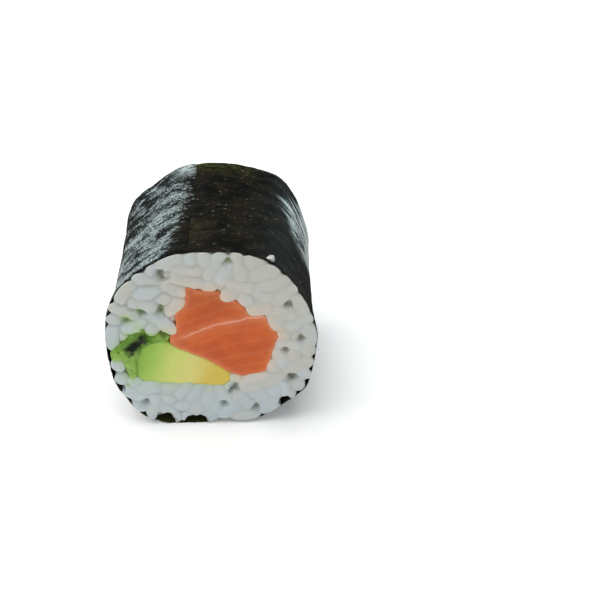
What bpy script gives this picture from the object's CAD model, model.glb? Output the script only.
import math

import bmesh
import bpy
import numpy as np
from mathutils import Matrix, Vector, noise


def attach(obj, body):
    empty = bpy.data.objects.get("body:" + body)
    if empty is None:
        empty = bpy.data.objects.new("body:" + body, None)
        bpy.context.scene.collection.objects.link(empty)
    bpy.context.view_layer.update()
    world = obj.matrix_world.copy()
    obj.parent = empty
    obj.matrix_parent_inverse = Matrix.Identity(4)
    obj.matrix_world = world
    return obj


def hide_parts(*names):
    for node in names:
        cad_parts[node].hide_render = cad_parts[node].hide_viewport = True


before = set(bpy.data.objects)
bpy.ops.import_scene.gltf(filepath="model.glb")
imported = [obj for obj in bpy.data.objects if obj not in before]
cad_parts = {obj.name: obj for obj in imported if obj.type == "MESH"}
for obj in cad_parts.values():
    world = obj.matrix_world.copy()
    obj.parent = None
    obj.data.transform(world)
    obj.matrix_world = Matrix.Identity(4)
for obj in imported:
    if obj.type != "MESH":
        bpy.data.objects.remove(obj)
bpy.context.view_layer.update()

mm = 0.001

# The roll's shape, as in the CAD model: mm about an axis along Y, degrees from +X towards +Z.
roll = dict(
    length=38.4,
    radius=20.2,
    axisHeight=20.6,
    sheet=0.4,
    frontRidges=(
        (-153, 0.6, 10),
        (-128, 2.3, 18),
        (-92, 0.8, 24),
        (-60, 0.6, 14),
        (-32, 1.3, 13),
        (5, 0.35, 18),
        (57, 1.1, 24),
        (108, 0.5, 12),
        (150, 0.3, 18),
        (178, -0.5, 22),
    ),
    backRidges=(
        (-130, 1.2, 24),
        (-92, 0.9, 24),
        (-45, 0.7, 26),
        (48, 1.5, 17),
        (85, 0.3, 28),
        (128, -0.5, 11),
        (154, 0.4, 12),
        (175, -0.4, 25),
    ),
    flare=0.8,
    rightFlareShare=0.7,
    backFlareShare=0.5,
    flareReach=3.5,
    rimDip=1.9,
    rimDipAngle=-85,
    rimDipWidth=10,
    twist=math.radians(9),
)
half = roll["length"] / 2
centre = Vector((-0.31, -0.05, 0))  # where the CAD model's middle lies over its origin, mm


def ridgeHeight(ridges, degrees):
    total = 0
    for middle, height, halfWidth in ridges:
        away = (degrees - middle + 180) % 360 - 180
        total = total + height * np.exp(-((away / halfWidth) ** 2))
    return total


def bodyRadius(degrees, y):
    # the sheet's inner radius, for arrays or single numbers
    share = np.clip(y / roll["length"] + 0.5, 0, 1)
    ridges = (1 - share) * ridgeHeight(roll["frontRidges"], degrees)
    ridges = ridges + share * ridgeHeight(roll["backRidges"], degrees)
    frontFlare = np.exp(-np.maximum(half + y, 0) / roll["flareReach"])
    backFlare = roll["backFlareShare"] * np.exp(-np.maximum(half - y, 0) / roll["flareReach"])
    across = np.cos(np.radians(degrees))
    sideways = np.abs(across) * (1 - (1 - roll["rightFlareShare"]) * (across + 1) / 2)
    dip = np.exp(-((((degrees - roll["rimDipAngle"] + 180) % 360 - 180) / roll["rimDipWidth"]) ** 2))
    flare = roll["flare"] * (frontFlare + backFlare) * sideways
    return roll["radius"] + ridges + flare - roll["rimDip"] * dip * frontFlare**2


def carriedBack(flat, y):
    # the fillings turn from the front face to the back
    turn = roll["twist"] * np.clip(y / roll["length"] + 0.5, 0, 1)
    x = flat[:, 0] * np.cos(turn) - flat[:, 1] * np.sin(turn)
    z = flat[:, 0] * np.sin(turn) + flat[:, 1] * np.cos(turn)
    return np.stack([x, z], 1)


def carriedForward(flat, y):
    # from a place at depth y to the same place of the front face
    turn = -roll["twist"] * np.clip(y / roll["length"] + 0.5, 0, 1)
    x = flat[:, 0] * np.cos(turn) - flat[:, 1] * np.sin(turn)
    z = flat[:, 0] * np.sin(turn) + flat[:, 1] * np.cos(turn)
    return np.stack([x, z], 1)


# Shader helpers.
def screen(red, green, blue):
    # a screen colour of 0 to 255 as the shader's numbers
    out = []
    for part in (red / 255, green / 255, blue / 255):
        out.append(part / 12.92 if part <= 0.04045 else ((part + 0.055) / 1.055) ** 2.4)
    return (*out, 1)


class Wire:
    # one output of a material's node; sums and products of wires add Math nodes
    def __init__(self, tree, socket=None):
        self.tree = tree
        self.socket = socket

    def node(self, kind, settings=None, inputs=None, output=0):
        made = self.tree.nodes.new("ShaderNode" + kind)
        for name, value in (settings or {}).items():
            if name == "stops":
                ramp = made.color_ramp
                while len(ramp.elements) < len(value):
                    ramp.elements.new(0.5)
                for element, (place, colour) in zip(ramp.elements, value):
                    element.position = place
                    element.color = colour
            else:
                setattr(made, name, value)
        for name, value in (inputs or {}).items():
            if isinstance(value, Wire):
                self.tree.links.new(value.socket, made.inputs[name])
            else:
                made.inputs[name].default_value = value
        return Wire(self.tree, made.outputs[output])

    def maths(self, operation, first, second=0.0):
        return self.node("Math", {"operation": operation}, {0: first, 1: second})

    def __add__(self, other):
        return self.maths("ADD", self, other)

    def __sub__(self, other):
        return self.maths("SUBTRACT", self, other)

    def __rsub__(self, other):
        return self.maths("SUBTRACT", other, self)

    def __mul__(self, other):
        return self.maths("MULTIPLY", self, other)

    def __pow__(self, other):
        return self.maths("POWER", self, other)

    __radd__ = __add__
    __rmul__ = __mul__

    def larger(self, other):
        return self.maths("MAXIMUM", self, other)

    def size(self):
        return self.maths("ABSOLUTE", self)

    def between(self, low, high):
        # 0 at low and 1 at high, smoothly
        inputs = {"Value": self, "From Min": low, "From Max": high}
        return self.node("MapRange", {"interpolation_type": "SMOOTHSTEP"}, inputs)

    def blend(self, below, above):
        # the colour that goes from below to above with this wire
        return self.node("Mix", {"data_type": "RGBA"}, {0: self, 6: below, 7: above}, 2)

    def stretched(self, x, y, z):
        return self.node("VectorMath", {"operation": "MULTIPLY"}, {0: self, 1: (x, y, z)})

    def noise(self, scale, detail=3.0, roughness=0.5, distortion=0.0):
        inputs = {"Vector": self, "Scale": scale, "Detail": detail}
        inputs.update({"Roughness": roughness, "Distortion": distortion})
        return self.node("TexNoise", {}, inputs)


def newMaterial(name, fixed):
    # a Principled material with its fixed values set; returns it and the means to add nodes
    made = bpy.data.materials.new(name)
    made.use_nodes = True
    shader = made.node_tree.nodes["Principled BSDF"]
    for socket, value in fixed.items():
        shader.inputs[socket].default_value = value
    return made, Wire(made.node_tree), shader


def plug(shader, **wires):
    for name, wire in wires.items():
        socket = shader.inputs[name.replace("_", " ")]
        shader.id_data.links.new(wire.socket, socket)


# Mesh helpers.
def newPiece(name, points, faces, material):
    # points in mm about the roll's axis; the piece rides on the roll
    world = np.array(points, float)
    world = (world + np.array([centre.x, centre.y, roll["axisHeight"]])) * mm
    mesh = bpy.data.meshes.new(name)
    mesh.from_pydata(world.tolist(), [], faces)
    mesh.shade_smooth()
    piece = bpy.data.objects.new(name, mesh)
    bpy.context.scene.collection.objects.link(piece)
    if material:
        mesh.materials.append(material)
    return piece


def meshPoints(piece):
    # the piece's vertices in mm about the roll's axis
    flat = np.empty(len(piece.data.vertices) * 3)
    piece.data.vertices.foreach_get("co", flat)
    return flat.reshape(-1, 3) / mm - np.array([centre.x, centre.y, roll["axisHeight"]])


def setMeshPoints(piece, points):
    world = (points + np.array([centre.x, centre.y, roll["axisHeight"]])) * mm
    piece.data.vertices.foreach_set("co", world.ravel())
    piece.data.update()


def addNumbers(piece, name, values):
    # one number for each vertex, for the material to read
    made = piece.data.attributes.new(name, "FLOAT", "POINT")
    made.data.foreach_set("value", np.asarray(values, dtype=np.float32))


def addPlaces(piece, name, places):
    made = piece.data.attributes.new(name, "FLOAT_VECTOR", "POINT")
    made.data.foreach_set("vector", np.asarray(places, dtype=np.float32).ravel())


def dropCrumbs(skin, least=200):
    # removes the specks of skin that a remesh can leave inside a piece
    work = bmesh.new()
    work.from_mesh(skin)
    seen, crumbs = set(), []
    for first in work.verts:
        if first in seen:
            continue
        seen.add(first)
        island, edge = [first], [first]
        while edge:
            near = [side.other_vert(vert) for vert in edge for side in vert.link_edges]
            edge = [vert for vert in dict.fromkeys(near) if vert not in seen]
            seen.update(edge)
            island += edge
        if len(island) < least:
            crumbs += island
    bmesh.ops.delete(work, geom=crumbs, context="VERTS")
    work.to_mesh(skin)
    work.free()


def remeshed(piece, voxel):
    # one smooth skin round everything in the piece
    change = piece.modifiers.new("skin", "REMESH")
    change.mode = "VOXEL"
    change.voxel_size = voxel * mm
    graph = bpy.context.evaluated_depsgraph_get()
    skin = bpy.data.meshes.new_from_object(piece.evaluated_get(graph))
    piece.modifiers.clear()
    old = piece.data
    piece.data = skin
    bpy.data.meshes.remove(old)
    dropCrumbs(skin)
    skin.shade_smooth()


def smoothed(piece, rounds, strength=0.5):
    # moves each vertex towards the middle of its neighbours
    points = meshPoints(piece)
    edges = np.empty(len(piece.data.edges) * 2, int)
    piece.data.edges.foreach_get("vertices", edges)
    a, b = edges.reshape(-1, 2).T
    count = np.bincount(a, minlength=len(points)) + np.bincount(b, minlength=len(points))
    for _ in range(rounds):
        total = np.zeros_like(points)
        for axis in range(3):
            total[:, axis] += np.bincount(a, points[b, axis], len(points))
            total[:, axis] += np.bincount(b, points[a, axis], len(points))
        points += strength * (total / np.maximum(count, 1)[:, None] - points)
    return points


def bumps(points, size, seed):
    # smooth noise of about -1 to 1 at each point, with lumps of this size in mm
    return np.array([noise.noise(Vector(p) / size + Vector((seed, 0, 0))) for p in points])


def smoothOutline(points, perSpan):
    # a smooth closed curve through the points
    points = np.array(points, float)
    before, after, last = np.roll(points, 1, 0), np.roll(points, -1, 0), np.roll(points, -2, 0)
    curve = []
    for k in range(perSpan):
        t = k / perSpan
        pull = (after - before) * t + (2 * before - 5 * points + 4 * after - last) * t**2
        pull += (3 * points - before - 3 * after + last) * t**3
        curve.append(points + pull / 2)
    return np.stack(curve, 1).reshape(-1, 2)


def distanceTo(outline, places):
    # signed distance from a closed outline, less than 0 inside, and the way out
    nearest = np.full(len(places), np.inf)
    away = np.zeros((len(places), 2))
    inside = np.zeros(len(places), bool)
    for a, b in zip(outline, np.roll(outline, -1, 0)):
        span = b - a
        along = np.clip(((places - a) @ span) / (span @ span), 0, 1)
        gap = places - a - along[:, None] * span
        reach = np.hypot(*gap.T)
        closer = reach < nearest
        nearest[closer] = reach[closer]
        away[closer] = gap[closer]
        crosses = (a[1] > places[:, 1]) != (b[1] > places[:, 1])
        with np.errstate(divide="ignore", invalid="ignore"):
            inside ^= crosses & (places[:, 0] < a[0] + (places[:, 1] - a[1]) * span[0] / span[1])
    away /= np.maximum(nearest, 1e-9)[:, None]
    sign = np.where(inside, -1, 1)
    return nearest * sign, away * sign[:, None]


# Outlines of the fillings at the front face, mm from the axis.
salmonOutline = smoothOutline(
    (
        (-4.0, 12.8), (-4.5, 9.1), (-6.4, 7.2), (-6.4, 3.8), (-7.8, 1.5), (-7.2, -0.5),
        (-4.7, -1.9), (-2.1, -3.3), (0.4, -4.7), (3.8, -7.2), (6.6, -8.1), (10.5, -7.2),
        (11.6, -5.0), (12.4, -1.8), (13.4, 1.4), (11.9, 3.6), (10.8, 6.0), (8.4, 6.2),
        (7.2, 7.4), (5.6, 9.5), (3.3, 10.0), (2.1, 11.8), (-1.3, 11.9),
    ),
    6,
)
avocadoOutline = smoothOutline(
    (
        (-9.4, 0.3), (-12.2, 0.0), (-13.9, -1.8), (-14.9, -4.6), (-14.9, -7.4), (-13.9, -9.0),
        (-10.8, -9.5), (-5.2, -9.9), (-0.8, -10.3), (2.2, -10.5), (3.6, -8.8), (2.9, -7.1),
        (0.2, -5.05), (-2.3, -3.65), (-4.9, -2.28), (-7.5, -0.95),
    ),
    6,
)
leafOutline = smoothOutline(
    (
        (-19.5, -2.2), (-19.2, -3.6), (-17.4, -3.5), (-16.9, -5.4), (-16.1, -7.9), (-15.4, -7.2),
        (-15.35, -4.6), (-14.3, -1.6), (-12.4, 0.43), (-9.7, 0.75), (-8.7, 1.3), (-8.8, 2.3),
        (-10.4, 1.9), (-12.0, 2.0), (-13.6, 3.2), (-14.5, 2.6), (-16.4, 0.5), (-18.2, -0.9),
    ),
    6,
)


# The sheet of seaweed, in mm.
nori = dict(
    thickness=0.18,
    lapStart=147,
    lapEnd=100,
    lapClimb=7,
    layerGap=0.06,
    columns=330,
    rows=120,
    crease=0.14,
    creaseSize=5.0,
    ragged=0.3,
    dark=screen(6, 5, 4),
    brown=screen(33, 27, 18),
    green=screen(19, 23, 10),
    olive=screen(62, 62, 28),
    tan=screen(60, 51, 30),
    speck=screen(160, 160, 145),
    dust=screen(188, 208, 202),
    wet=screen(22, 32, 32),
    dull=0.5,
    sheen=0.3,
)


def noriMaterial():
    # dull weed with a sheen where the sheet is smooth, as two shaders mixed by a mask
    made, wire, shader = newMaterial("noriSheet", {"Specular IOR Level": 0.0})
    shine = made.node_tree.nodes.new("ShaderNodeBsdfPrincipled")
    shine.inputs["IOR"].default_value = 2.6
    place = wire.node("Attribute", {"attribute_name": "sheet"}, {}, 1)
    around = wire.node("SeparateXYZ", {}, {"Vector": place}, 0)
    along = wire.node("SeparateXYZ", {}, {"Vector": place}, 1)
    fibres = place.stretched(0.7, 2.4, 1).noise(1.0, 4, 0.62, 0.6)
    flecks = place.stretched(0.9, 1.6, 1).noise(1.0, 4, 0.7, 1.2)
    grit = place.noise(2.6, 3, 0.65)
    dots = place.noise(5.5, 2, 0.6)
    cockle = place.stretched(0.3, 0.5, 1).noise(1.0, 3, 0.55, 0.4)
    patches = place.stretched(0.2, 0.42, 1).noise(1.0, 4, 0.6, 0.8)
    mottle = place.stretched(0.5, 1.1, 1).noise(1.0, 4, 0.65, 0.5)
    streaks = place.stretched(0.09, 0.75, 1).noise(1.0, 4, 0.6, 0.3)
    flakes = place.stretched(0.9, 2.6, 1).noise(1.0, 3, 0.55, 0.2)
    specks = flakes.between(0.64, 0.71) * patches.between(0.42, 0.54)
    colour = patches.between(0.42, 0.6).blend(nori["dark"], nori["brown"])
    colour = (mottle.between(0.5, 0.66) * 0.8).blend(colour, nori["green"])
    back = along.between(12, 19) * (1 - around.between(24, 34))
    colour = (back * mottle.between(0.4, 0.6)).blend(colour, nori["olive"])
    beside = (1 - around.between(18, 24)) * (1 - (along + 9).size().between(2.5, 6))
    colour = (beside * mottle.between(0.46, 0.6) * 0.8).blend(colour, nori["tan"])
    under = around.between(72, 80) * (1 - around.between(104, 112)) * (1 - along.between(-17, -13))
    colour = (under * (dots.between(0.35, 0.65) * 0.6 + 0.4)).blend(colour, nori["olive"])
    colour = (specks * 0.7).blend(colour, nori["speck"])
    height = cockle * 2.6 + flecks * 1.4 + fibres * 0.6 + grit * 0.5
    bump = wire.node("Bump", {}, {"Strength": 0.8, "Distance": 0.3 * mm, "Height": height})
    # the lap shines on the left, and long streaks shine low on the right
    edge = 149.5 - (7 - along).larger(0) * 0.18 + (mottle - 0.5) * 10
    lap = around.between(118, 124) * (edge - around).between(-0.6, 1.2)
    bands = place.stretched(0.06, 0.3, 1).noise(1.0, 2, 0.5)
    worn = along * -0.0008 - along.between(-6, 8) * (1 - around.between(134, 141)) * 0.025
    worn = worn - (1 - (along - 1).size().between(1, 5)) * 0.014
    blotches = (flecks * 0.28 + patches * 0.34 + grit * 0.22 + bands * 0.16 + worn).between(0.47, 0.545)
    start = (10 - along).larger(0) * 0.4 + (along - 11).larger(0) * 0.9 + 36.5
    right = (around + (streaks - 0.5) * 14 - start).between(-1, 3)
    right = right * (along + (streaks - 0.5) * 12).between(-2.5, 2.5) * (1 - around.between(56, 63))
    lines = (streaks * 0.6 + fibres * 0.2 + grit * 0.2 + around.between(42, 50) * 0.06).between(0.475, 0.53)
    corner = (edge - around).between(-0.6, 0.6) * around.between(142, 147) * along.between(12, 17)
    corner = corner * (flecks * 0.6 + grit * 0.4).between(0.38, 0.5)
    mask = lap * blotches.larger(corner * 0.85) + right * lines + 0.05
    dusty = (grit * 0.6 + dots * 0.4).between(0.5, 0.64).larger(corner * 0.8) * (mask * 0.95)
    wet = dusty.blend(nori["wet"], nori["dust"])
    height = height + dots * 0.5
    glint = wire.node("Bump", {}, {"Strength": 0.6, "Distance": 0.25 * mm, "Height": height})
    plug(shader, Base_Color=colour, Roughness=mottle.between(0.4, 0.6) * 0.2 + nori["dull"], Normal=bump)
    plug(shine, Base_Color=wet, Roughness=grit.between(0.35, 0.65) * 0.2 + nori["sheen"], Normal=glint)
    layers = [Wire(wire.tree, part.outputs[0]) for part in (shader, shine)]
    both = wire.node("MixShader", {}, {0: mask * 0.9, 1: layers[0], 2: layers[1]})
    wire.tree.links.new(both.socket, wire.tree.nodes["Material Output"].inputs["Surface"])
    return made


def makeNori(material):
    sweep = 360 + nori["lapStart"] - nori["lapEnd"]
    turned = np.linspace(0, sweep, nori["columns"] + 1)[:, None]
    across = np.linspace(-1, 1, nori["rows"] + 1)[None, :]
    degrees = nori["lapStart"] - turned + 0 * across
    climb = np.clip((turned - 360 + nori["lapClimb"]) / nori["lapClimb"], 0, 1)
    climb = climb * climb * (3 - 2 * climb)
    shape = degrees.shape
    edge = np.abs(across) ** 12 + 0 * turned
    ends = np.stack([degrees.ravel() / 7, np.sign(across + 0 * turned).ravel() * 5], 1)
    ends = np.array([noise.noise((a, b, 0)) + 0.6 * noise.noise((a * 3.7, b, 4)) for a, b in ends])
    y = across * half + edge * np.sign(across) * nori["ragged"] * ends.reshape(shape)
    free = np.clip((turned - sweep + 14) / 14, 0, 1) ** 2
    wander = np.array([noise.noise((v / 6, 0, 9)) + 0.4 * noise.noise((v / 1.7, 0, 3)) for v in y[-1]])
    degrees = degrees + free * wander[None, :] * 1.8
    radius = bodyRadius(degrees, y) + roll["sheet"]
    radius = radius + climb * (nori["thickness"] + nori["layerGap"])
    around = np.radians(degrees)
    points = np.stack([radius * np.cos(around), y, radius * np.sin(around)], -1).reshape(-1, 3)
    creases = bumps(points, nori["creaseSize"], 3) + 0.45 * bumps(points, nori["creaseSize"] / 2.4, 8)
    radius = radius + nori["crease"] * creases.reshape(shape)
    radius = radius - 0.16 * np.clip((turned - sweep + 2.4) / 2.4, 0, 1)
    x = radius * np.cos(around)
    z = np.maximum(radius * np.sin(around), -roll["axisHeight"])
    points = np.stack([x, y, z], -1).reshape(-1, 3)
    rows, columns = nori["rows"], nori["columns"]
    faces = []
    for i in range(columns):
        for j in range(rows):
            a = i * (rows + 1) + j
            faces.append((a, a + rows + 1, a + rows + 2, a + 1))
    piece = newPiece("noriSheet", points, faces, material)
    arc = np.radians(turned) * 21 + 0 * across
    addPlaces(piece, "sheet", np.stack([arc, y, climb + 0 * across], -1).reshape(-1, 3))
    thicken = piece.modifiers.new("thickness", "SOLIDIFY")
    thicken.thickness = nori["thickness"] * mm
    thicken.offset = -1
    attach(piece, "root")
    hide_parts("nori")
    return piece


makeNori(noriMaterial())
print("stage: nori rolled")


# The rice: grains at both ends and a plain core between them, in mm.
rice = dict(
    grainsPerEnd=158,
    grainHalfLength=1.7,
    grainRadius=1.75,
    proud=-0.5,
    slabDepth=3.0,
    coreDepth=1.3,
    rimDepth=0.2,
    overlap=0.12,
    rounds=60,
    groove=0.62,
    voxel=0.27,
    swell=0.3,
    cool=screen(184, 195, 199),
    warm=screen(189, 189, 180),
    grey=screen(146, 148, 130),
    leafStain=screen(150, 190, 80),
    salmonStain=screen(226, 190, 160),
)
# Places where no grain lies and the nori or a shadow shows: x, z, radius, depth.
frontHollows = (
    (-10.0, -19.5, 1.5, 3.6), (-4.6, -19.9, 1.2, 3.2), (-2.6, -19.8, 1.1, 3.2), (-18.6, -11.2, 0.75, 2.6),
    (14.9, -15.4, 1.1, 3.2), (-9.3, 16.2, 1.6, 1.9), (18.6, 8.1, 1.5, 1.9), (15.4, 8.0, 0.9, 1.4),
    (5.1, -12.9, 1.4, 1.8), (2.1, -14.7, 1.0, 1.5), (18.6, 1.2, 1.0, 1.5), (15.1, -3.2, 0.9, 1.3),
    (16.3, -9.6, 1.5, 1.9), (-14.9, -15.8, 1.2, 1.6), (7.6, -17.6, 1.1, 1.5), (-13.4, 8.9, 1.4, 1.9),
    (-10.1, 6.8, 1.3, 1.7), (4.0, 17.0, 1.1, 1.5), (-17.6, 6.4, 1.0, 1.4),
)
# Stains that the leaf left on the rice: x, z, radius.
leafStains = ((-17.4, 6.7, 1.2), (-13.4, 8.9, 0.8), (-10.1, 6.8, 0.7), (4.0, 17.0, 0.5), (-17.6, -10.4, 0.6))
backHollows = (
    (12.0, 15.5, 1.4, 1.8), (-16.5, 6.0, 1.2, 1.6), (6.0, -18.8, 1.4, 3.2), (-15.0, -12.5, 1.2, 1.9),
    (9.0, -14.5, 1.1, 1.6), (16.5, -4.0, 1.1, 1.6), (-4.0, 16.5, 1.2, 1.7),
)


def apart(some, others):
    # the distance from each point of some to each of others
    squares = (some**2).sum(1)[:, None] + (others**2).sum(1)[None] - 2 * some @ others.T
    return np.sqrt(np.maximum(squares, 0))


def packGrains(side, seed):
    # grains settle between the sheet and the fillings; returns their spheres as (grain, 3, xyz)
    # with the last number the depth under the cut face
    random = np.random.default_rng(seed)
    count = rice["grainsPerEnd"]
    y = side * half
    outlines = [carriedBack(line, y) for line in (salmonOutline, avocadoOutline, leafOutline)]
    reach = rice["grainRadius"]
    angle = random.uniform(-180, 180, count * 4)
    far = np.sqrt(random.uniform(0, 1, count * 4)) * (bodyRadius(angle, y) - reach)
    spots = np.stack([far * np.cos(np.radians(angle)), far * np.sin(np.radians(angle))], 1)
    clear = np.min([distanceTo(line, spots)[0] for line in outlines], 0) > reach * 0.6
    spots = spots[clear][:count]
    middles = np.column_stack([spots, random.uniform(rice["proud"], rice["slabDepth"], count)])
    ways = random.normal(size=(count, 3)) * (1, 1, 0.45)
    ways /= np.linalg.norm(ways, axis=1)[:, None]
    lengths = rice["grainHalfLength"] * random.uniform(0.8, 1.15, count)
    radii = reach * random.uniform(0.9, 1.08, count)
    spread = np.array([-1, 0, 1])
    spheres = middles[:, None] + ways[:, None] * (lengths[:, None] * spread)[:, :, None]
    grain = np.repeat(np.arange(count), 3)
    size = radii[grain]
    want = (size[:, None] + size[None, :]) * (1 - rice["overlap"])
    same = grain[:, None] == grain[None, :]
    for turn in range(rice["rounds"]):
        flat = spheres.reshape(-1, 3)
        far = apart(flat, flat) + 1e-6
        press = np.where(same, 0, np.maximum(want - far, 0)) / far
        move = (flat * press.sum(1)[:, None] - press @ flat) * 0.28
        limit = 0.5
        long = np.linalg.norm(move, axis=1)[:, None]
        flat = flat + move * np.minimum(1, limit / np.maximum(long, 1e-9))
        for line in outlines:
            off, out = distanceTo(line, flat[:, :2])
            short = np.maximum(size * 0.86 - off, 0)
            flat[:, :2] += out * short[:, None] * 0.6
        off = np.hypot(flat[:, 0], flat[:, 1])
        angle = np.degrees(np.arctan2(flat[:, 1], flat[:, 0]))
        room = bodyRadius(angle, y) + 0.2 - size * 0.82
        flat[:, :2] *= np.minimum(1, room / off)[:, None]
        floor = -roll["axisHeight"] + 0.35 + size * 0.93
        flat[:, 1] = np.maximum(flat[:, 1], floor)
        flat[:, 2] = np.clip(flat[:, 2], rice["proud"], rice["slabDepth"])
        spheres = flat.reshape(-1, 3, 3)
        middles = spheres.mean(1)
        ways = spheres[:, 2] - spheres[:, 0]
        ways /= np.linalg.norm(ways, axis=1)[:, None] + 1e-9
        spheres = middles[:, None] + ways[:, None] * (lengths[:, None] * spread)[:, :, None]
    return middles, ways, lengths, radii


def grainMesh(middles, ways, lengths, radii, side, seed):
    # each grain is a plump rod with blunt, slightly bent ends
    random = np.random.default_rng(seed)
    ring, rows = 14, 11
    points, faces = [], []
    for middle, way, longHalf, wide in zip(middles, ways, lengths, radii):
        start = len(points)
        side1 = np.cross(way, random.normal(size=3))
        side1 /= np.linalg.norm(side1)
        side2 = np.cross(way, side1)
        flatness = random.uniform(0.86, 1.0)
        bend = random.uniform(-0.35, 0.35)
        reach = longHalf + wide * 0.95
        for j in range(rows + 1):
            along = -math.cos(math.pi * j / rows)
            around = (1 - abs(along) ** 2.6) ** 0.5 * wide
            for i in range(ring):
                angle = 2 * math.pi * i / ring
                out = side1 * math.cos(angle) * around + side2 * math.sin(angle) * around * flatness
                spot = middle + way * along * reach + out + side1 * bend * (along**2 - 0.4)
                points.append((spot[0], side * (half - spot[2]), spot[1]))
        for j in range(rows):
            for i in range(ring):
                a, b = start + j * ring + i, start + j * ring + (i + 1) % ring
                faces.append((a, b, b + ring, a + ring) if side > 0 else (a, a + ring, b + ring, b))
    return points, faces


def discMesh(side, rings, start, hollows=()):
    # a body of rice as rings of (depth, share of the radius), cut back where the sheet shows
    steps = 120
    points, faces = [], []
    for depth, share in rings:
        y = side * (half - depth)
        for i in range(steps):
            degrees = 360 * i / steps
            far = bodyRadius(degrees, y) - 0.2
            for hollowX, hollowZ, wide, deep in hollows:
                if deep > 2:
                    away = math.degrees(math.atan2(hollowZ, hollowX)) - degrees
                    away = math.radians((away + 180) % 360 - 180) * far / wide
                    far -= 3.0 * math.exp(-(away**4))
            far *= share
            x, z = far * math.cos(math.radians(degrees)), far * math.sin(math.radians(degrees))
            points.append((x, y, max(z, -roll["axisHeight"] + 0.45)))
    last = len(rings) - 1
    for k in range(last):
        for i in range(steps):
            a, b = start + k * steps + i, start + k * steps + (i + 1) % steps
            face = (a, b, b + steps, a + steps)
            faces.append(face if side > 0 else face[::-1])
    for k in (0, last):
        loop = [start + k * steps + i for i in range(steps)]
        faces.append(loop if (k == last) == (side > 0) else loop[::-1])
    return points, faces


def riceMaterial():
    fixed = {
        "Subsurface Weight": 0.6,
        "Subsurface Radius": (1.0, 0.95, 0.85),
        "Subsurface Scale": 0.4 * mm,
        "IOR": 1.4,
        "Coat Weight": 0.25,
        "Coat Roughness": 0.22,
    }
    made, wire, shader = newMaterial("stickyRice", fixed)
    place = wire.node("TexCoord", {}, {}, 3)
    tone = wire.node("Attribute", {"attribute_name": "tone"}, {}, 2)
    groove = wire.node("Attribute", {"attribute_name": "groove"}, {}, 2)
    leafy = wire.node("Attribute", {"attribute_name": "leafy"}, {}, 2)
    fishy = wire.node("Attribute", {"attribute_name": "fishy"}, {}, 2)
    cloud = place.noise(420, 3, 0.55)
    fine = place.noise(2400, 3, 0.6)
    # a little cooler low down and on the left
    height = wire.node("SeparateXYZ", {}, {"Vector": place}, 2)
    sideways = wire.node("SeparateXYZ", {}, {"Vector": place}, 0)
    warmth = tone * 0.35 + cloud * 0.8 + (height - 0.021) * 12 + sideways * 8
    body = warmth.between(0.2, 0.95).blend(rice["cool"], rice["warm"])
    body = (groove * 0.6).blend(body, rice["grey"])
    body = leafy.blend(body, rice["leafStain"])
    body = (fishy * 0.5).blend(body, rice["salmonStain"])
    bump = wire.node("Bump", {}, {"Strength": 0.15, "Distance": 0.1 * mm, "Height": fine})
    rough = cloud.between(0.3, 0.7) * 0.2 + 0.3
    plug(shader, Base_Color=body, Roughness=rough, Normal=bump)
    return made


def shareInside(points, spare):
    # how far each point has to move towards the axis to stay behind the sheet
    degrees = np.degrees(np.arctan2(points[:, 2], points[:, 0]))
    room = bodyRadius(degrees, np.clip(points[:, 1], -half, half)) + spare
    return np.minimum(1, room / np.maximum(np.hypot(points[:, 0], points[:, 2]), 1e-6))


def grainsNear(spots, middles, ways, lengths, radii):
    # the grain each spot belongs to, and how much further the next two are
    spheres = middles[:, None] + ways[:, None] * (lengths[:, None] * np.array([-1, 0, 1]))[:, :, None]
    flat = spheres.reshape(-1, 3)
    nearest, second, third = np.empty(len(spots), int), np.empty(len(spots)), np.empty(len(spots))
    for start in range(0, len(spots), 4000):
        part = slice(start, start + 4000)
        reach = apart(spots[part], flat) - np.repeat(radii, 3)
        reach = reach.reshape(len(reach), -1, 3).min(2)
        order = np.sort(np.partition(reach, 2, axis=1)[:, :3], axis=1)
        nearest[part] = reach.argmin(1)
        second[part] = order[:, 1] - order[:, 0]
        third[part] = order[:, 2] - order[:, 0]
    return nearest, second, third


def meetingPoint(x, z, places, third, reach):
    # the spot near x, z where three grains meet
    away = np.hypot(places[:, 0] - x, places[:, 1] - z)
    return places[(third + 0.4 * away + 9 * (away > reach)).argmin()]


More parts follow.
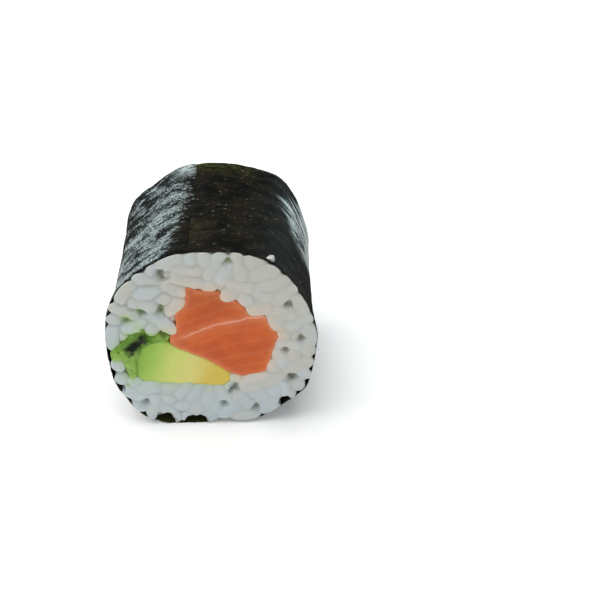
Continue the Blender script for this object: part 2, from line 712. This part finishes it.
def makeRiceEnd(name, side, hollows, material, seed):
    middles, ways, lengths, radii = packGrains(side, seed)
    points, faces = grainMesh(middles, ways, lengths, radii, side, seed + 1)
    near, rim, far = rice["coreDepth"], rice["rimDepth"], rice["slabDepth"] + 0.8
    rings = [(near, 0.02), (near, 0.86), ((near + rim) / 2, 0.92), (rim, 1), (near, 1), ((near + far) / 2, 1)]
    more, moreFaces = discMesh(side, rings + [(far, 1), (far, 0.02)], len(points), hollows)
    piece = newPiece(name, points + more, faces + moreFaces, material)
    remeshed(piece, rice["voxel"])
    points = smoothed(piece, 2)
    y = side * half
    # the knife: what stands past the cut is pressed back to a low bulge
    x, z = points[:, 0], points[:, 2]
    far = np.hypot(x, z)
    limit = bodyRadius(np.degrees(np.arctan2(z, x)), y)
    proud = side * points[:, 1] - half
    plane = rice["swell"] * (1 - (far / limit) ** 2) - 0.3 - (x + z) * 0.006
    plane = plane + 0.22 * bumps(np.stack([x, 0 * x, z], 1), 6.5, seed)
    over = np.maximum(proud - plane, 0)
    pressed = np.where(over > 0, plane + 0.95 * (1 - np.exp(-over / 1.5)), proud)
    # a groove runs where two grains meet, deeper in some places than in others
    nearest, second, third = grainsNear(np.stack([x, z, -proud], 1), middles, ways, lengths, radii)
    groove = np.exp(-second / 0.45)
    smeared = 0.86 + 0.8 * bumps(np.stack([x, 0 * x, z], 1), 5.0, seed + 3)
    if side < 0:
        smeared = smeared - 0.6 * np.exp(-((x + 12) ** 2 + (z - 8) ** 2) / 90)
    else:
        smeared = smeared - 0.35
    smeared = np.clip(smeared, 0, 1)
    atFace = np.clip((pressed + 1.6) / 1.2, 0, 1)
    pressed = pressed - rice["groove"] * groove * (1 - 0.8 * smeared) * atFace
    ragged = bumps(np.stack([x, 0 * x, z], 1), 1.1, seed + 8)
    front = pressed > -0.8
    flatPlaces = np.stack([x, z], 1)[front]
    for hollowX, hollowZ, wide, deep in hollows:
        # windows onto the sheet are open, and a small gap lies where three grains meet
        if deep < 2:
            hollowX, hollowZ = meetingPoint(hollowX, hollowZ, flatPlaces, third[front], 1.4)
        away = np.hypot(x - hollowX, z - hollowZ) + 0.45 * wide * ragged
        pit = deep * np.exp(-((np.maximum(away, 0) / wide) ** 4))
        if deep < 2:
            pit = pit * np.exp(-((third / 1.1) ** 2))
        pressed = np.minimum(pressed, np.maximum(pressed - pit, 0.3 - deep))
    points[:, 1] = side * (half + pressed)
    # the sheet holds the grains in, and they swell a little over its rim
    inwards = shareInside(points, 0.12 + 0.38 * np.clip(pressed * 3, 0, 1))
    points[:, 0] *= inwards
    points[:, 2] = np.maximum(z * inwards, -roll["axisHeight"] + 0.3)
    setMeshPoints(piece, points)
    spots = np.stack([points[:, 0], points[:, 2], half - side * points[:, 1]], 1)
    tones = np.random.default_rng(seed + 2).uniform(0, 1, len(middles))
    deep = np.clip((spots[:, 2] - 0.45) / 0.8, 0, 1)
    addNumbers(piece, "tone", tones[nearest])
    addNumbers(piece, "groove", np.clip(groove * 0.3 * (1 - 0.8 * smeared) + deep, 0, 1))
    places = carriedForward(spots[:, :2], points[:, 1])
    wander = 1.2 * bumps(points, 2.2, seed + 5)
    nearLeaf = distanceTo(leafOutline, places)[0] + wander
    nearAvocado = distanceTo(avocadoOutline, places)[0] + wander
    nearSalmon = distanceTo(salmonOutline, places)[0] + wander
    leafy = np.exp(-np.maximum(nearLeaf, 0) / 0.9) + 0.45 * np.exp(-np.maximum(nearAvocado, 0) / 0.8)
    for stainX, stainZ, wide in leafStains if side < 0 else ():
        stainX, stainZ = meetingPoint(stainX, stainZ, flatPlaces, third[front], 1.4)
        away = np.hypot(x - stainX, z - stainZ) + 0.3 * wander
        leafy = leafy + 0.8 * np.exp(-((away / wide) ** 2))
    addNumbers(piece, "leafy", np.clip(leafy, 0, 1) * 0.8)
    addNumbers(piece, "fishy", np.exp(-np.maximum(nearSalmon, 0) / 1.6))
    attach(piece, "root")
    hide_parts("rice")
    print("stage:", name, len(piece.data.polygons), "faces")
    return piece


def makeRiceCore(material):
    # the rice between the two ends
    near, far = rice["slabDepth"], roll["length"] - rice["slabDepth"]
    rings = [(depth, 0.985) for depth in np.linspace(near, far, 24)]
    points, faces = discMesh(-1, [(near, 0.02)] + rings + [(far, 0.02)], 0)
    piece = newPiece("riceCore", points, faces, material)
    addNumbers(piece, "tone", np.full(len(points), 0.5))
    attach(piece, "root")
    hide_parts("rice")


riceLook = riceMaterial()
makeRiceCore(riceLook)
makeRiceEnd("riceFront", -1, frontHollows, riceLook, 11)
makeRiceEnd("riceBack", 1, backHollows, riceLook, 47)


# The fillings: salmon, avocado and the folded leaf.
def grown(outline, margin):
    along = np.roll(outline, -1, 0) - np.roll(outline, 1, 0)
    out = np.stack([along[:, 1], -along[:, 0]], 1)
    return outline + out / np.linalg.norm(out, axis=1)[:, None] * margin


def fillingSolid(name, outline, filling, material, node):
    # a closed strip from face to face, with soft edges, that fills the CAD model's clearance
    rows = 40
    outline = grown(outline, filling["margin"])
    count = len(outline)
    points = []
    for k in range(rows + 1):
        y = (roll["length"] + 2 * filling["reach"]) * (k / rows - 0.5)
        flat = carriedBack(outline, y)
        points += [(x, y, z) for x, z in flat]
    faces = []
    for k in range(rows):
        for i in range(count):
            a, b = k * count + i, k * count + (i + 1) % count
            faces.append((a, b, b + count, a + count))
    faces.append(list(range(count))[::-1])
    faces.append([rows * count + i for i in range(count)])
    piece = newPiece(name, points, faces, material)
    remeshed(piece, filling["voxel"])
    points = smoothed(piece, 4)
    setMeshPoints(piece, points)
    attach(piece, "root")
    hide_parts(node)
    return piece, points


def finishFilling(piece, points):
    points[:, [0, 2]] *= shareInside(points, -0.15)[:, None]
    flat = carriedForward(points[:, [0, 2]], points[:, 1])
    setMeshPoints(piece, points)
    addPlaces(piece, "section", np.stack([flat[:, 0], flat[:, 1], points[:, 1]], 1))
    print("stage:", piece.name, len(piece.data.polygons), "faces")


salmon = dict(
    reach=0.55,
    margin=0.3,
    voxel=0.36,
    flesh=screen(200, 88, 12),
    deep=screen(188, 76, 10),
    dusk=screen(168, 82, 14),
    pale=screen(222, 140, 95),
    fat=screen(232, 176, 150),
)
avocado = dict(
    reach=0.5,
    margin=0.45,
    voxel=0.36,
    shades=(
        (0.0, screen(122, 166, 52)),
        (0.18, screen(154, 188, 78)),
        (0.42, screen(196, 206, 108)),
        (0.66, screen(212, 205, 122)),
        (0.9, screen(208, 184, 78)),
    ),
)
leaf = dict(
    reach=0.7,
    margin=0.6,
    voxel=0.3,
    bright=screen(156, 188, 96),
    deep=screen(118, 158, 56),
    shade=screen(72, 116, 22),
    brown=screen(62, 70, 12),
    dark=screen(5, 16, 0),
    fold=((-12.0, 2.6), (-14.6, -0.4), (-16.4, -1.8)),
)


def salmonMaterial():
    fixed = {
        "Subsurface Weight": 0.35,
        "Subsurface Radius": (1.0, 0.35, 0.2),
        "Subsurface Scale": 1.2 * mm,
        "IOR": 1.4,
        "Coat Roughness": 0.2,
    }
    made, wire, shader = newMaterial("salmonFlesh", fixed)
    place = wire.node("Attribute", {"attribute_name": "section"}, {}, 1)
    x = wire.node("SeparateXYZ", {}, {"Vector": place}, 0)
    z = wire.node("SeparateXYZ", {}, {"Vector": place}, 1)
    wobble = place.stretched(0.5, 0.5, 0.08).noise(1.0, 3, 0.5)
    line = z - 3.75 - x * 0.35 + x * x * 0.012 + (wobble - 0.5) * 1.1
    fatLine = (1 - line.size().between(0.08, 0.36)) * x.between(-7.5, -2.5)
    halo = 1 - line.size().between(0.3, 2.6)
    rim = wire.node("Attribute", {"attribute_name": "rim"}, {}, 2)
    cloud = place.stretched(0.22, 0.22, 0.05).noise(1.0, 3, 0.55)
    phase = line * 2.2 + wobble * 2.0
    threads = phase.maths("SINE", phase)
    colour = cloud.between(0.35, 0.65).blend(salmon["deep"], salmon["flesh"])
    colour = (z.between(5, 13) * 0.7).blend(colour, salmon["dusk"])
    colour = (halo * 0.22).blend(colour, salmon["pale"])
    colour = (threads.between(0.4, 1.0) * 0.12).blend(colour, salmon["pale"])
    colour = (rim * 0.55).blend(colour, salmon["pale"])
    colour = (fatLine * 0.55).blend(colour, salmon["fat"])
    height = threads * 0.3 + place.noise(2.5, 3, 0.6)
    bump = wire.node("Bump", {}, {"Strength": 0.18, "Distance": 0.1 * mm, "Height": height})
    plug(shader, Base_Color=colour, Normal=bump)
    shader.inputs["Roughness"].default_value = 0.36
    return made


def avocadoMaterial():
    fixed = {
        "Subsurface Weight": 0.3,
        "Subsurface Radius": (0.9, 0.9, 0.4),
        "Subsurface Scale": 1.0 * mm,
        "IOR": 1.4,
        "Roughness": 0.42,
    }
    made, wire, shader = newMaterial("avocadoFlesh", fixed)
    place = wire.node("Attribute", {"attribute_name": "section"}, {}, 1)
    x = wire.node("SeparateXYZ", {}, {"Vector": place}, 0)
    z = wire.node("SeparateXYZ", {}, {"Vector": place}, 1)
    cloud = place.stretched(0.3, 0.3, 0.1).noise(1.0, 3, 0.5)
    ripe = (x + (cloud - 0.5) * 3 + (z + 5) * -0.35 + 15.5) * 0.055
    colour = wire.node("ValToRGB", {"stops": avocado["shades"]}, {"Fac": ripe})
    bump = wire.node("Bump", {}, {"Strength": 0.12, "Distance": 0.1 * mm, "Height": place.noise(1.6, 3, 0.6)})
    plug(shader, Base_Color=colour, Normal=bump)
    return made


def leafMaterial():
    fixed = {"Roughness": 0.45, "Specular IOR Level": 0.2}
    fixed.update({"Subsurface Weight": 0.2, "Subsurface Scale": 0.5 * mm})
    made, wire, shader = newMaterial("greenLeaf", fixed)
    place = wire.node("Attribute", {"attribute_name": "section"}, {}, 1)
    x = wire.node("SeparateXYZ", {}, {"Vector": place}, 0)
    z = wire.node("SeparateXYZ", {}, {"Vector": place}, 1)
    tear = place.stretched(0.5, 0.5, 0.2).noise(1.0, 3, 0.55, 0.4)
    # the inside of the fold is a dark band that runs down to the left
    fray = place.stretched(0.9, 0.9, 0.3).noise(1.0, 3, 0.6)
    across = (z - x - 14.5 + (tear - 0.5) * 2.0 + (fray - 0.5) * 4.5) * 0.7
    down = (x + z + (fray - 0.5) * 3.0) * 0.7
    fold = (1 - across.size().between(0.3, 1.5)) * down.between(-14.2, -12.6) * (1 - down.between(-8.8, -6.2))
    spot = (x + 15.9).size() * 0.55 + (z + 1.4).size() * 0.55 + (tear - 0.5) * 1.0
    fold = fold.larger(1 - spot.between(0.5, 1.2))
    tip = (x + 9.1).size() * 0.6 + (z - 2.4).size() * 0.7
    middle = (x + 14.2).size() * 0.5 + (z - 0.2).size() * 0.5 + (tear - 0.5) * 2.0
    colour = tear.between(0.3, 0.68).blend(leaf["deep"], leaf["bright"])
    colour = (fray.between(0.5, 0.66) * 0.5).blend(colour, leaf["shade"])
    colour = ((1 - middle.between(1.4, 3.4)) * 0.7).blend(colour, leaf["shade"])
    colour = ((1 - tip.between(0.2, 1.4)) * 0.85).blend(colour, leaf["brown"])
    colour = fold.blend(colour, leaf["dark"])
    bump = wire.node("Bump", {}, {"Strength": 0.25, "Distance": 0.2 * mm, "Height": tear})
    plug(shader, Base_Color=colour, Normal=bump)
    return made


piece, points = fillingSolid("salmonStrip", salmonOutline, salmon, salmonMaterial(), "salmon")
flat = carriedForward(points[:, [0, 2]], points[:, 1])
inside = distanceTo(salmonOutline, flat)[0]
addNumbers(piece, "rim", np.exp(-np.abs(inside) / 0.55))
atFace = np.abs(points[:, 1]) > half - 0.6
points[:, 1] += np.where(atFace, np.sign(points[:, 1]) * (0.12 * bumps(points, 4.0, 2)), 0)
finishFilling(piece, points)

piece, points = fillingSolid("avocadoSlice", avocadoOutline, avocado, avocadoMaterial(), "avocado")
points[:, 1] += np.sign(points[:, 1]) * 0.1 * bumps(points, 5.0, 6) * (np.abs(points[:, 1]) > half - 0.6)
finishFilling(piece, points)

piece, points = fillingSolid("leafFold", leafOutline, leaf, leafMaterial(), "leaf")
ragged = bumps(points, 1.3, 4)
flat = carriedForward(points[:, [0, 2]], points[:, 1])
lift = 0.45 * ragged
for foldX, foldZ in leaf["fold"]:
    away = np.hypot(flat[:, 0] - foldX, flat[:, 1] - foldZ)
    lift = lift - 0.9 * np.exp(-((away / 1.0) ** 2))
points[:, 1] += np.sign(points[:, 1]) * lift * (np.abs(points[:, 1]) > half - 0.8)
finishFilling(piece, points)


# Crumbs of the leaf between the grains, each as x, z, half width and half length.
leafBits = dict(
    pale=screen(140, 154, 96),
    deep=screen(84, 104, 40),
    depth=0.95,
    crumbs=(
        (-14.2, 4.2, 0.45, 0.5), (-19.2, -2.9, 0.6, 0.5), (-12.4, -8.9, 0.3, 0.4), (-16.9, 2.6, 0.3, 0.3),
    ),
)


def crumbMaterial():
    made, wire, shader = newMaterial("leafCrumbs", {"Roughness": 0.5, "Specular IOR Level": 0.2})
    place = wire.node("Attribute", {"attribute_name": "section"}, {}, 1)
    torn = place.noise(1.3, 3, 0.55)
    bump = wire.node("Bump", {}, {"Strength": 0.25, "Distance": 0.2 * mm, "Height": torn})
    plug(shader, Base_Color=torn.between(0.35, 0.65).blend(leafBits["deep"], leafBits["pale"]), Normal=bump)
    return made


def makeLeafBits(material):
    random = np.random.default_rng(5)
    crumbs = np.array(leafBits["crumbs"])
    count = len(crumbs)
    middles = np.column_stack([crumbs[:, :2], np.full(count, leafBits["depth"])])
    ways = random.normal(size=(count, 3)) * (1, 1, 0.3)
    ways /= np.linalg.norm(ways, axis=1)[:, None]
    points, faces = grainMesh(middles, ways, crumbs[:, 3], crumbs[:, 2], -1, 8)
    points = np.array(points)
    lumps = np.stack([bumps(points, 0.7, 1), bumps(points, 0.7, 2), bumps(points, 0.7, 3)], 1)
    piece = newPiece("leafBits", points + lumps * 0.35, faces, material)
    addPlaces(piece, "section", points)
    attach(piece, "root")


def makeRiceChip(material):
    # a torn end of a grain that stuck to the sheet behind the front rim
    angle, y = math.radians(56), -half + 1.2
    far = bodyRadius(56, y) + roll["sheet"] + 0.3
    middle = np.array([[far * math.cos(angle), far * math.sin(angle), 1.1]])
    points, faces = grainMesh(middle, np.array([[0.75, -0.55, 0.35]]), [0.25], [0.75], -1, 3)
    points = np.array(points)
    # wide where it lies on the sheet, and narrow at its top
    out = np.array([math.cos(angle), 0, math.sin(angle)])
    right = np.array([math.sin(angle), 0, -math.cos(angle)])
    spots = points - points.mean(0)
    share = np.clip((spots @ out + 0.7) / 1.4, 0, 1)
    points = points - ((spots @ right) * (0.8 * share - 0.2))[:, None] * right
    points = points + 0.2 * bumps(points, 0.8, 6)[:, None]
    piece = newPiece("riceChip", points, faces, material)
    addNumbers(piece, "tone", np.ones(len(points)))
    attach(piece, "root")


makeLeafBits(crumbMaterial())
makeRiceChip(riceLook)
print("stage: crumbs placed")


# Floor, lights and camera.
floor = dict(size=3.0, colour=screen(246, 246, 245), roughness=0.6, glow=0.16)
studio = dict(
    skyFront=(0.39, 0.395, 0.405, 1),
    skyBack=(0.03, 0.03, 0.03, 1),
    overheadPower=7.2,
    overheadSize=0.9,
    sheenPower=0.72,
    rightPower=1.05,
    sheenColour=(0.69, 0.94, 1.0),
    frontPower=0.42,
)
camera = dict(lens=68.4, distance=228.13, tilt=32.787, turn=1.506, aside=-17.956, above=-8.308)


def makeFloor():
    fixed = {"Base Color": floor["colour"], "Roughness": floor["roughness"]}
    fixed.update({"Emission Color": floor["colour"], "Emission Strength": floor["glow"]})
    made, wire, shader = newMaterial("paleFloor", fixed)
    grain = wire.node("TexCoord", {}, {}, 3).noise(260, 2, 0.5)
    bump = wire.node("Bump", {}, {"Strength": 0.02, "Distance": 0.1 * mm, "Height": grain})
    plug(shader, Normal=bump)
    reach = floor["size"] / 2
    mesh = bpy.data.meshes.new("floor")
    corners = [(-reach, -reach, 0), (reach, -reach, 0), (reach, reach, 0), (-reach, reach, 0)]
    mesh.from_pydata(corners, [], [(0, 1, 2, 3)])
    mesh.materials.append(made)
    ground = bpy.data.objects.new("floor", mesh)
    bpy.context.scene.collection.objects.link(ground)


def makeLight(name, place, target, power, width, height):
    light = bpy.data.lights.new(name, "AREA")
    light.shape = "RECTANGLE"
    light.size, light.size_y = width, height
    light.energy = power
    lamp = bpy.data.objects.new(name, light)
    lamp.location = place
    lamp.rotation_euler = (Vector(place) - Vector(target)).to_track_quat("Z", "Y").to_euler()
    bpy.context.scene.collection.objects.link(lamp)
    return light


def makeStudio():
    world = bpy.data.worlds.new("studio")
    world.use_nodes = True
    sky = Wire(world.node_tree)
    way = sky.node("SeparateXYZ", {}, {"Vector": sky.node("TexCoord", {}, {}, 0)}, 1)
    colour = way.between(-0.3, 0.3).blend(studio["skyFront"], studio["skyBack"])
    world.node_tree.links.new(colour.socket, world.node_tree.nodes["Background"].inputs["Color"])
    bpy.context.scene.world = world
    wide = studio["overheadSize"]
    makeLight("overhead", (-0.16, 0.02, 0.72), (0, 0, 0), studio["overheadPower"], wide, wide)
    sheen = makeLight("sheen", (-0.28, 0.50, 0.12), (0, 0, 0.03), studio["sheenPower"], 0.18, 0.24)
    sheen.color = studio["sheenColour"]
    right = makeLight("sheenRight", (0.30, 0.45, 0.08), (0, 0, 0.03), studio["rightPower"], 0.16, 0.14)
    right.color = studio["sheenColour"]
    makeLight("front", (-0.25, -0.6, 0.35), (0, 0, 0.02), studio["frontPower"], 0.4, 0.4)


def makeCamera():
    data = bpy.data.cameras.new("view")
    data.lens = camera["lens"]
    data.clip_start = 0.01
    view = bpy.data.objects.new("view", data)
    tilt, turn = math.radians(camera["tilt"]), math.radians(camera["turn"])
    right = Vector((math.cos(turn), -math.sin(turn), 0))
    ahead = Vector((math.sin(turn) * math.cos(tilt), math.cos(turn) * math.cos(tilt), -math.sin(tilt)))
    up = right.cross(ahead)
    face = Vector((centre.x, centre.y - half, roll["axisHeight"]))
    place = face - right * camera["aside"] - up * camera["above"] - ahead * camera["distance"]
    view.location = place * mm
    view.rotation_euler = (-ahead).to_track_quat("Z", "Y").to_euler()
    bpy.context.scene.collection.objects.link(view)
    bpy.context.scene.camera = view


makeFloor()
makeStudio()
makeCamera()
bpy.context.scene.view_settings.view_transform = "Standard"
print("stage: studio ready")
